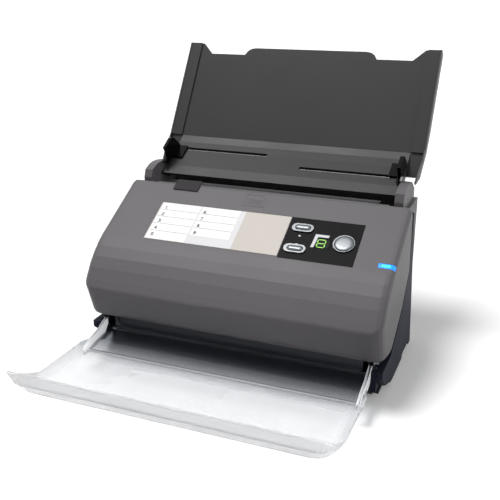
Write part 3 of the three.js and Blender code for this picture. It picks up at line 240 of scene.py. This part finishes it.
plastics = {
    # name: colour, colour spread, roughness low and high, grain scale and strength, specular level
    "coverGrey": ((0.128, 0.121, 0.128), 0.03, 0.40, 0.52, 2600, 0.10, 0.22),
    "casingGrey": ((0.124, 0.118, 0.124), 0.03, 0.42, 0.54, 2600, 0.10, 0.22),
    "navySide": ((0.014, 0.017, 0.028), 0.05, 0.46, 0.58, 2200, 0.14, 0.05),
    "baseNavy": ((0.022, 0.025, 0.036), 0.05, 0.36, 0.50, 2200, 0.12, 0.3),
    "pathBlack": ((0.010, 0.010, 0.012), 0.06, 0.30, 0.45, 2000, 0.06, 0.3),
    "guideBlack": ((0.003, 0.003, 0.004), 0.04, 0.12, 0.22, 900, 0.03, 0.1),
    "chuteGrey": ((0.060, 0.056, 0.060), 0.04, 0.38, 0.50, 2400, 0.12, 0.25),
    "panelCharcoal": ((0.006, 0.0055, 0.0065), 0.04, 0.30, 0.40, 2600, 0.03, 0.05),
    "catchCharcoal": ((0.034, 0.031, 0.034), 0.04, 0.46, 0.56, 2600, 0.12, 0.08),
    # white of the printed signs, also used for a painted highlight on the display recess's edges
    "whiteSignsAndEdgeHighlight": ((0.66, 0.66, 0.68), 0.02, 0.35, 0.45, 2600, 0.04, 0.3),
    "gearAcetal": ((0.62, 0.60, 0.53), 0.03, 0.35, 0.45, 1800, 0.04, 0.5),
    "boardGreen": ((0.010, 0.075, 0.026), 0.08, 0.30, 0.42, 1500, 0.08, 0.5),
    "tyreRubber": ((0.018, 0.018, 0.019), 0.08, 0.72, 0.86, 1600, 0.25, 0.3),
    "darkGlass": ((0.006, 0.009, 0.008), 0.05, 0.10, 0.18, 600, 0.01, 0.2),
}
for name, (color, spread, low, high, scale, strength, specular) in plastics.items():
    tree, shader, output = newMaterial(name)
    shader.inputs["Specular IOR Level"].default_value = specular
    tinted(tree, shader, color, spread)
    patchyGloss(tree, shader, low, high)
    grained(tree, shader, scale, strength)

metals = {
    # name: colour, roughness low and high
    "zincSteel": ((0.50, 0.51, 0.53), 0.28, 0.42),
    "rollerSteel": ((0.46, 0.47, 0.48), 0.18, 0.30),
    "silverPaint": ((0.15, 0.155, 0.16), 0.28, 0.36),
    "silverCap": ((0.155, 0.163, 0.172), 0.32, 0.40),
}
brushed = {"spread": 0.06, "tintScale": 40, "stretch": (1, 8, 8), "glossScale": 120,
           "grainScale": 900, "grainStrength": 0.08}
for name, (color, low, high) in metals.items():
    tree, shader, output = newMaterial(name)
    shader.inputs["Metallic"].default_value = 1.0
    tinted(tree, shader, color, brushed["spread"], brushed["tintScale"], brushed["stretch"])
    patchyGloss(tree, shader, low, high, brushed["glossScale"])
    grained(tree, shader, brushed["grainScale"], brushed["grainStrength"])

# the chute's inner face is darkened with painted shade, a painted shade line runs along its groove,
# and the flanges outside its wings keep the moulding's paler grey
chuteShade = {
    "inner": (0.030, 0.028, 0.030), "cloudScale": 9, "cloudDetail": 3, "cloudRange": (0.8, 1.25),
    "groove": (0.008, 0.008, 0.009), "grooveFrom": 0.1389, "grooveTo": 0.1395,  # m from the middle
}
tree = looks["chuteGrey"].node_tree
shader = tree.nodes["Principled BSDF"]
flangeColor = shader.inputs["Base Color"].links[0].from_socket
across = reckoned(tree, "ABSOLUTE", placeAlong(tree, "X"))
pastInnerShade = reckoned(tree, "GREATER_THAN", across, chuteShade["grooveFrom"])
pastGrooveShade = reckoned(tree, "GREATER_THAN", across, chuteShade["grooveTo"])
clouds = ranged(tree, cloudy(tree, chuteShade["cloudScale"], chuteShade["cloudDetail"]),
                *chuteShade["cloudRange"])
# painted shade: the inner face is darker than the flanges of the same moulding, with random clouds
# in it
innerColor = colorMix(tree, 1, opaque(chuteShade["inner"]), clouds, "MULTIPLY")
# painted shade: a thin dark line along the groove between the inner face and the flange
withGrooveShade = colorMix(tree, pastInnerShade, innerColor, opaque(chuteShade["groove"]))
chuteColorWithShade = colorMix(tree, pastGrooveShade, withGrooveShade, flangeColor)
tree.links.new(chuteColorWithShade, shader.inputs["Base Color"])

inks = {
    "labelWhite": (0.93, 0.93, 0.93), "labelBeige": (0.57, 0.525, 0.48),
    "labelPale": (0.72, 0.71, 0.73), "labelInk": (0.008, 0.008, 0.01),
    "labelRule": (0.34, 0.33, 0.35),
}
printed = {"spread": 0.012, "tintScale": 60, "rough": (0.45, 0.55), "grain": (1500, 0.04)}
for name, color in inks.items():
    tree, shader, output = newMaterial(name)
    tinted(tree, shader, color, printed["spread"], printed["tintScale"])
    patchyGloss(tree, shader, *printed["rough"])
    grained(tree, shader, *printed["grain"])

glowing = {
    # name: colour, strength
    "digitGreen": ((0.24, 0.58, 0.06), 0.62), "lampBlue": ((0.0, 0.22, 1.0), 1.0),
    "lampCore": ((0.02, 0.62, 1.0), 1.0),
}
glowFinish = {"spread": 0.08, "tintScale": 80, "rough": 0.25}
for name, (color, strength) in glowing.items():
    tree, shader, output = newMaterial(name)
    tinted(tree, shader, color, glowFinish["spread"], glowFinish["tintScale"])
    shader.inputs["Emission Color"].default_value = opaque(color)
    shader.inputs["Emission Strength"].default_value = strength
    shader.inputs["Roughness"].default_value = glowFinish["rough"]

# the clear tray: darkened by its hinge with a painted shadow and reflection of the dark body, nearly
# white at its lip, with places in m along its length
clear = {
    "color": (0.83, 0.838, 0.85), "hingeShade": (0.20, 0.215, 0.24), "rim": (0.985, 0.985, 0.99),
    "hingeShadeFrom": -0.052, "hingeShadeTo": -0.100, "rimFrom": -0.158, "rimTo": -0.174,
    "waveScale": 18, "waveDetail": 3, "wave": 0.04, "rough": (0.16, 0.22),
    "grain": (220, 0.01, 0.0001), "ior": 1.22, "specular": 0.5,
    "through": 0.72, "throughHingeShade": 0.92, "lit": 0.66,
}
tree, shader, output = newMaterial("clearTray")
patchyGloss(tree, shader, *clear["rough"])
grained(tree, shader, *clear["grain"])
along = placeAlong(tree, "Y")
# painted shadow and reflection: darkest by the hinge and fading towards the lip, with random waves
# in it
hingeShadeRamp = ranged(tree, along, 0, 1, clear["hingeShadeTo"], clear["hingeShadeFrom"], "SMOOTHSTEP")
waves = ranged(tree, cloudy(tree, clear["waveScale"], clear["waveDetail"]),
               -clear["wave"], clear["wave"])
hingeShadeShare = reckoned(tree, "ADD", hingeShadeRamp, waves)
bedColorWithShade = colorMix(tree, hingeShadeShare, opaque(clear["color"]), opaque(clear["hingeShade"]))
behindRim = ranged(tree, along, 0, 1, clear["rimTo"], clear["rimFrom"], "SMOOTHSTEP")
trayColorWithShade = colorMix(tree, behindRim, opaque(clear["rim"]), bedColorWithShade)
# more of the tray passes light through where the painted shade lies
through = ranged(tree, hingeShadeShare, clear["through"], clear["throughHingeShade"])
tree.links.new(trayColorWithShade, shader.inputs["Base Color"])
tree.links.new(through, shader.inputs["Transmission Weight"])
shader.inputs["Specular IOR Level"].default_value = clear["specular"]
shader.inputs["IOR"].default_value = clear["ior"]

# part of the lamps' light goes straight through the tray, so that its shadow stays pale
path = tree.nodes.new("ShaderNodeLightPath")
seeThrough = tree.nodes.new("ShaderNodeBsdfTransparent")
blend = tree.nodes.new("ShaderNodeMixShader")
lit = reckoned(tree, "MULTIPLY", path.outputs["Is Shadow Ray"], clear["lit"])
tree.links.new(lit, blend.inputs["Fac"])
tree.links.new(shader.outputs["BSDF"], blend.inputs[1])
tree.links.new(seeThrough.outputs["BSDF"], blend.inputs[2])
tree.links.new(blend.outputs["Shader"], output.inputs["Surface"])

# frosted cheeks with a painted glow, the rib, and a painted shade line beside the rib
trayFinishes = {
    # tint: colour, spread and scale; gloss: roughness low and high, scale
    "frostedPaintedGlow": {
        "tint": ((0.97, 0.975, 0.985), 0.02, 300), "gloss": (0.35, 0.5, 260),
        "grain": (700, 0.5, 0.0004),
        # painted light: a white glow stands in for light picked up through the clear cheeks
        "sockets": {"Transmission Weight": 0.4, "IOR": 1.3, "Emission Color": (1, 1, 1, 1),
                    "Emission Strength": 0.26},
    },
    "ribClear": {
        "tint": ((0.80, 0.81, 0.83), 0.03, 300), "gloss": (0.25, 0.4, 260),
        "sockets": {"Transmission Weight": 0.55, "IOR": 1.3},
    },
    # painted shade: a dark line beside the rib
    "ribShadeLine": {
        "tint": ((0.16, 0.17, 0.19), 0.1, 200), "gloss": (0.3, 0.45, 200), "sockets": {},
    },
}
for name, finish in trayFinishes.items():
    tree, shader, output = newMaterial(name)
    tinted(tree, shader, *finish["tint"])
    patchyGloss(tree, shader, *finish["gloss"])
    if "grain" in finish:
        grained(tree, shader, *finish["grain"])
    for socketName, value in finish["sockets"].items():
        shader.inputs[socketName].default_value = value
print("materials made:", len(looks))

# every node of the frame keeps its own shape and gets its finish here
nodeLooks = {
    "coverGrey": ["cover_shell"],
    "casingGrey": ["rear_casing"],
    "navySide": ["side_panel_left", "side_panel_right"],
    "baseNavy": ["base_tray", "exit_ramp"],
    "pathBlack": ["feed_guide", "cover_guide", "lower_scan_module", "upper_scan_module",
                  "dc_inlet", "power_switch", "latch_bar"],
    "guideBlack": ["side_guide_left", "side_guide_right"],
    "chuteGrey": ["chute_pan", "chute_extension"],
    "panelCharcoal": ["panel_bezel"],
    "catchCharcoal": ["release_catch"],
    "silverPaint": ["plus_button", "minus_button", "scan_button"],
    "gearAcetal": ["feed_gear", "exit_gear", "pick_gear", "idler_gear", "small_idler",
                   "guide_pinion"],
    "boardGreen": ["control_board", "main_board"],
    "tyreRubber": ["foot_front_left", "foot_front_right", "foot_back_left", "foot_back_right",
                   "separation_pad", "pick_rollers", "feed_rollers", "exit_rollers",
                   "feed_pinch_rollers", "exit_pinch_rollers"],
    "darkGlass": ["display_window", "upper_scan_glass", "lower_scan_glass"],
    "zincSteel": ["frame_left", "frame_right", "hinge_bracket_left", "hinge_bracket_right",
                  "usb_socket", "motor"],
    "rollerSteel": ["hinge_pin_left", "hinge_pin_right", "idler_stub", "small_idler_stub",
                    "guide_pinion_pin", "motor_pinion"],
    "labelBeige": ["label_plate"],
    "lampBlue": ["status_light"],
    "clearTray": ["output_tray"],
}
for lookName, names in nodeLooks.items():
    for nodeName in names:
        for materialSlot in nodes[nodeName].material_slots:
            materialSlot.material = looks[lookName]

# degrees: facets that meet flatter than "joined" are merged, edges sharper than "rounded" are
# bevelled in "facets" steps, and edges sharper than "corner" are shaded as corners
edges = {"joined": 0.6, "rounded": 40, "facets": 2, "corner": 34}


# shading by edge angle, as a geometry modifier, so the frame's own meshes stay as they are
def angleShading(degrees):
    group = bpy.data.node_groups.new("smoothUnder%d" % degrees, "GeometryNodeTree")
    group.interface.new_socket("Geometry", in_out="INPUT", socket_type="NodeSocketGeometry")
    group.interface.new_socket("Geometry", in_out="OUTPUT", socket_type="NodeSocketGeometry")
    entry = group.nodes.new("NodeGroupInput")
    leave = group.nodes.new("NodeGroupOutput")
    smooth = group.nodes.new("GeometryNodeSetShadeSmooth")
    smooth.domain = "FACE"
    sharp = group.nodes.new("GeometryNodeSetShadeSmooth")
    sharp.domain = "EDGE"
    sharp.inputs["Shade Smooth"].default_value = False
    angle = group.nodes.new("GeometryNodeInputMeshEdgeAngle")
    over = group.nodes.new("FunctionNodeCompare")
    over.data_type = "FLOAT"
    over.operation = "GREATER_THAN"
    over.inputs["B"].default_value = math.radians(degrees)
    group.links.new(angle.outputs["Unsigned Angle"], over.inputs["A"])
    group.links.new(entry.outputs["Geometry"], smooth.inputs["Geometry"])
    group.links.new(smooth.outputs["Geometry"], sharp.inputs["Geometry"])
    group.links.new(over.outputs["Result"], sharp.inputs["Selection"])
    group.links.new(sharp.outputs["Geometry"], leave.inputs["Geometry"])
    return group


shading = angleShading(edges["corner"])


def shadeByAngle(obj):
    rounded = obj.modifiers.new("shading", "NODES")
    rounded.node_group = shading


softEdges = {
    # width in mm of the rounded edge of each moulding
    "cover_shell": 0.7, "rear_casing": 0.9, "side_panel_left": 0.7, "side_panel_right": 0.7,
    "panel_bezel": 0.25, "plus_button": 0.7, "minus_button": 0.7, "scan_button": 0.8,
    "release_catch": 0.45, "chute_pan": 0.5, "chute_extension": 0.5, "side_guide_left": 0.7,
    "side_guide_right": 0.7, "output_tray": 0.5, "base_tray": 0.4, "exit_ramp": 0.4,
    "power_switch": 0.4, "dc_inlet": 0.3, "usb_socket": 0.15,
}
for nodeName, obj in nodes.items():
    if nodeName in softEdges:
        merge = obj.modifiers.new("flatFaces", "DECIMATE")
        merge.decimate_type = "DISSOLVE"
        merge.angle_limit = math.radians(edges["joined"])
        bevel = obj.modifiers.new("softEdges", "BEVEL")
        bevel.width = softEdges[nodeName] * mm
        bevel.segments = edges["facets"]
        bevel.limit_method = "ANGLE"
        bevel.angle_limit = math.radians(edges["rounded"])
        bevel.harden_normals = False
    shadeByAngle(obj)
print("frame nodes dressed")

# printed label: white cells with numbers in two columns, thin rules between them, pale ground
# places are mm across and mm down the cover's top
label = {
    "left": (-97, -55.4), "leftLines": (33.6, 43, 52, 61.4, 70.9, 81.6),
    "right": (-53.4, -13.4), "rightLines": (33.6, 43, 52.2, 61.4, 71.2),
    "cellHeights": (0.06, 0.13), "rule": 0.28, "ruleStart": 0.5, "inkHeights": (0.06, 0.16),
    "pale": (-55.4, -7.6, 33.6, 81.8), "paleHeights": (0.06, 0.11),
    "numberX": (-92.4, -50.2), "numberDown": ((40.2, 48.9, 58, 67.2, 76), (40.4, 49.3, 58.5, 67.8)),
    "numberSize": (2.0, 3.2), "numberStroke": 0.8, "dot": (0.5, 1.1, -0.2, 0.4),
}
cells = []
rules = []
for side in ("left", "right"):
    x0, x1 = label[side]
    lines = label[side + "Lines"]
    cells.append(rect(x0, x1, -lines[-1], -lines[0]))
    for down in lines[1:-1]:
        rules.append(rect(x0 + label["ruleStart"], x1, -down - label["rule"], -down + label["rule"]))
x0, x1, near, far = label["pale"]
slabs("label_cells", cells, label["cellHeights"], "labelWhite", "cover")
slabs("label_pale_ground", [rect(x0, x1, -far, -near)], label["paleHeights"], "labelPale",
      "cover")
slabs("label_rules", rules, label["inkHeights"], "labelRule", "cover")

# number shapes as strokes in a box that is 1 wide and 1 high
numberStrokes = {
    1: [[(0.25, 0.8), (0.55, 1), (0.55, 0)]],
    2: [[(0, 0.8), (0.3, 1), (0.8, 1), (1, 0.75), (0, 0), (1, 0)]],
    3: [[(0, 1), (1, 1), (0.45, 0.6), (0.95, 0.45), (0.95, 0.15), (0.6, 0), (0, 0.08)]],
    4: [[(0.75, 0), (0.75, 1), (0, 0.3), (1, 0.3)]],
    5: [[(1, 1), (0.1, 1), (0.05, 0.55), (0.7, 0.6), (1, 0.35), (0.7, 0), (0, 0.05)]],
    6: [[(0.9, 1), (0.3, 0.8), (0, 0.35), (0.3, 0), (0.8, 0), (1, 0.3), (0.7, 0.55), (0.05, 0.4)]],
    7: [[(0, 1), (1, 1), (0.35, 0)]],
    8: [[(0.5, 0.55), (0.1, 0.78), (0.5, 1), (0.9, 0.78), (0.5, 0.55),
         (0, 0.25), (0.5, 0), (1, 0.25), (0.5, 0.55)]],
    9: [[(0.1, 0), (0.7, 0.2), (1, 0.65), (0.7, 1), (0.2, 1), (0, 0.7), (0.3, 0.45), (0.95, 0.6)]],
}
numberPlaces = [(x, down) for x, downs in zip(label["numberX"], label["numberDown"])
                for down in downs]
wide, high = label["numberSize"]
dotX0, dotX1, dotY0, dotY1 = label["dot"]
digits = []
for number, (left, down) in enumerate(numberPlaces, 1):
    right = left + wide
    foot = -down - high / 2
    for line in numberStrokes[number]:
        points = [(left + x * wide, foot + y * high) for x, y in line]
        digits += stroke(points, label["numberStroke"])
    digits.append(rect(right + dotX0, right + dotX1, foot + dotY0, foot + dotY1))
slabs("label_numbers", digits, label["inkHeights"], "labelInk", "cover")
print("label printed")

# marks on the control panel: the printed signs by mm across and down, and the painted highlight on
# the display recess's upper and left edges by its outline
marks = {
    "heights": (0.26, 0.34), "plus": (52.1, 55.6), "minus": (52.2, 65.5), "arm": 1.35, "width": 0.7,
    "edgeHighlight": [(66.6, -51.2), (79.6, -51.2), (79.1, -54.2), (69.6, -54.2), (68.2, -67.2),
                (65.4, -67.2)],
}
plusX, plusDown = marks["plus"]
minusX, minusDown = marks["minus"]
arm = marks["arm"]
half = marks["width"] / 2
signs = [
    rect(plusX - arm, plusX + arm, -plusDown - half, -plusDown + half),
    rect(plusX - half, plusX + half, -plusDown + half, -plusDown + arm),
    rect(plusX - half, plusX + half, -plusDown - arm, -plusDown - half),
    rect(minusX - arm, minusX + arm, -minusDown - half, -minusDown + half),
]
slabs("panel_signs", signs, marks["heights"], "whiteSignsAndEdgeHighlight", "cover")
# painted highlight: a white L along the upper and left edges of the display recess
slabs("display_edge_highlight", [marks["edgeHighlight"]], marks["heights"], "whiteSignsAndEdgeHighlight", "cover")

# the lit digit on the display window
digit = {"box": (70.6, 77.8, 57.2, 66.2), "inset": 0.35, "width": 0.85, "heights": (0.26, 0.36)}
x0, x1, near, far = digit["box"]
inset = digit["inset"]
middle = (near + far) / 2
bars = [pointedBar((x0 + inset, -down), (x1 - inset, -down), digit["width"])
        for down in (near, middle, far)]
for x in (x0, x1):
    for start, end in ((near, middle), (middle, far)):
        bars.append(pointedBar((x, -start - inset), (x, -end + inset), digit["width"]))
slabs("display_digit", bars, digit["heights"], "digitGreen", "cover")

# domed caps on the three buttons: (mm in from the outline, mm above the cover's top)
caps = {
    "pill": (14.4, 5.2), "pillDome": ((0, 1.5), (0, 2.0), (0.5, 2.5), (1.3, 2.9), (2.2, 3.0)),
    "plus": (53.0, 46.2), "minus": (52.6, 71.9), "scan": (95.0, 59.6), "scanRadius": 8.4,
    "scanDome": ((0, 1.5), (0, 2.0), (0.4, 2.35), (1.2, 2.6), (3.4, 2.75)),
    "groove": 1.1, "grooveHeights": (1.4, 1.76),
}


def capAndGroove(name, rings, groove):
    rows = [[(x, y, height) for x, y in outline] for outline, height in rings]
    cap = makePiece(name + "_cap", topPlane, [rows], "silverCap", name)
    for face in cap.data.polygons:
        face.use_smooth = True
    shadeByAngle(cap)
    slabs(name + "_groove", [groove], caps["grooveHeights"], "panelCharcoal", name)


for name in ("plus", "minus"):
    x, down = caps[name]
    long, wide = caps["pill"]
    rings = [(pillRing(x, -down, long - 2 * taken, wide - 2 * taken), height)
             for taken, height in caps["pillDome"]]
    capAndGroove(name, rings, pillRing(x, -down, long + caps["groove"], wide + caps["groove"]))
x, down = caps["scan"]
rings = [(discRing(x, -down, caps["scanRadius"] - taken), height)
         for taken, height in caps["scanDome"]]
capAndGroove("scan", rings, discRing(x, -down, caps["scanRadius"] + caps["groove"] / 2))

# raised outline of a sheet, moulded in the cover by the feed slot
sheetMark = {
    "box": (-14.6, 6.4, 10.4, 25.4), "fold": 5, "width": 0.7, "heights": (-0.1, 0.22),
    "rows": (0.45, 0.62, 0.79), "rowInset": 3.6,
}
x0, x1, near, far = sheetMark["box"]
fold = sheetMark["fold"]
outline = [(x0, -far), (x0, -near), (x1 - fold, -near), (x1, -near - fold), (x1, -far), (x0, -far)]
sheetLines = stroke(outline, sheetMark["width"])
for share in sheetMark["rows"]:
    y = -near - (far - near) * share
    row = [(x0 + sheetMark["rowInset"], y), (x1 - sheetMark["rowInset"], y)]
    sheetLines += stroke(row, sheetMark["width"])
for i, line in enumerate(sheetLines):
    slabs("sheet_mark_%d" % (i + 1), [line], sheetMark["heights"], "coverGrey", "cover")

# frosted skins with a painted glow on the tray's cheeks, and the thin rib and a painted shade line
# beside it across its bed
trayTrim = {
    "cheek": [(-90.5, 37.0), (-96.3, 35.5), (-106, 30.7), (-123, 27.0), (-131.9, 22.4),
              (-131.9, 15.5), (-112, 18.2), (-97, 22), (-94, 27.2), (-90.5, 31)],
    "skins": ((134.35, 134.6), (131.7, 131.95)), "halfWidth": 130,
    "rib": (-130.9, -129.1, 19.8, 21.0), "line": (-127.9, -127.2, 19.9, 20.9),
}


# an outline seen from the side, carried from one place across to another
def plate(name, outline, x0, x1, lookName):
    rows = [[(x, y, z) for y, z in outline] for x in (x0, x1)]
    makePiece(name, wholeSpace, [rows], lookName, "tray")


for side, sideName in ((-1, "left"), (1, "right")):
    for i, (x0, x1) in enumerate(trayTrim["skins"]):
        plate("tray_ear_skin_%s_%d" % (sideName, i + 1), trayTrim["cheek"], side * x0, side * x1,
              "frostedPaintedGlow")
halfWidth = trayTrim["halfWidth"]
plate("tray_rib", rect(*trayTrim["rib"]), -halfWidth, halfWidth, "ribClear")
# painted shade: a thin dark line in front of the rib, across the bed
plate("tray_rib_shade_line", rect(*trayTrim["line"]), -halfWidth, halfWidth, "ribShadeLine")
print("tray trimmed")

# bright core of the status light
core = {"box": (132.5, 140.5, 76.1, 78.7), "heights": (0.02, 0.1), "round": 1.2}
x0, x1, near, far = core["box"]
slabs("status_light_core", [roundRect(x0, x1, -far, -near, core["round"])], core["heights"],
      "lampCore", "cover")
print("marks, digit, button caps and light core made")

# floor: white where light falls on it, with the shadow kept; size and drop in m
floorLevel = {"size": 60, "drop": 0.0004, "glow": 0.12, "albedo": 0.98, "bounce": 0.12}
reach = floorLevel["size"]
mesh = bpy.data.meshes.new("floor")
mesh.from_pydata([(x, y, 0) for x, y in rect(-reach, reach, -reach, reach)], [], [(0, 1, 2, 3)])
floor = bpy.data.objects.new("floor", mesh)
bpy.context.scene.collection.objects.link(floor)
floor.location.z = -floorLevel["drop"]
tree, shader, output = newMaterial("floorWhite")
tree.nodes.remove(shader)
seen = seenByCamera(tree)
diffuse = tree.nodes.new("ShaderNodeBsdfDiffuse")
tree.links.new(ranged(tree, seen, floorLevel["bounce"], floorLevel["albedo"]),
               diffuse.inputs["Color"])
glow = tree.nodes.new("ShaderNodeEmission")
glow.inputs["Color"].default_value = (1, 1, 1, 1)
tree.links.new(ranged(tree, seen, 0, floorLevel["glow"]), glow.inputs["Strength"])
both = tree.nodes.new("ShaderNodeAddShader")
tree.links.new(diffuse.outputs["BSDF"], both.inputs[0])
tree.links.new(glow.outputs["Emission"], both.inputs[1])
tree.links.new(both.outputs["Shader"], output.inputs["Surface"])
mesh.materials.append(looks["floorWhite"])

# soft studio light: an even sky, a wide distant lamp at the left and a weak one at the right
studio = {
    "sky": 0.33, "skySeen": 1.0, "lampDistance": 2,
    "sun": {"from": (-0.31, -0.10, 0.94), "strength": 2.3, "spread": 22},
    "fill": {"from": (0.92, -0.12, 0.36), "strength": 0.72, "spread": 60},
}
world = bpy.data.worlds.new("studio")
bpy.context.scene.world = world
world.use_nodes = True
tree = world.node_tree
tree.nodes.clear()
output = tree.nodes.new("ShaderNodeOutputWorld")
sky = tree.nodes.new("ShaderNodeBackground")
sky.inputs["Color"].default_value = (1, 1, 1, 1)
tree.links.new(ranged(tree, seenByCamera(tree), studio["sky"], studio["skySeen"]),
               sky.inputs["Strength"])
tree.links.new(sky.outputs["Background"], output.inputs["Surface"])
for lampName in ("sun", "fill"):
    lamp = bpy.data.lights.new(lampName, "SUN")
    lamp.energy = studio[lampName]["strength"]
    lamp.angle = math.radians(studio[lampName]["spread"])
    holder = bpy.data.objects.new(lampName, lamp)
    direction = Vector(studio[lampName]["from"])
    holder.location = direction * studio["lampDistance"]
    holder.rotation_euler = direction.to_track_quat("Z", "Y").to_euler()
    bpy.context.scene.collection.objects.link(holder)

# camera at the viewing angle: place and far limit in m, angles in degrees, lens and sensor in mm
view = {"place": (0.2509, -0.6159, 0.3487), "down": 19.61, "turn": 21.90, "lens": 53.73,
        "sensor": 36, "far": 200}
camera = bpy.data.cameras.new("photoCamera")
camera.lens = view["lens"]
camera.sensor_width = view["sensor"]
camera.clip_end = view["far"]
holder = bpy.data.objects.new("photoCamera", camera)
holder.location = view["place"]
holder.rotation_euler = (math.radians(90 - view["down"]), 0, math.radians(view["turn"]))
bpy.context.scene.collection.objects.link(holder)
bpy.context.scene.camera = holder
bpy.context.scene.view_settings.view_transform = "Standard"
print("floor, light and camera set")
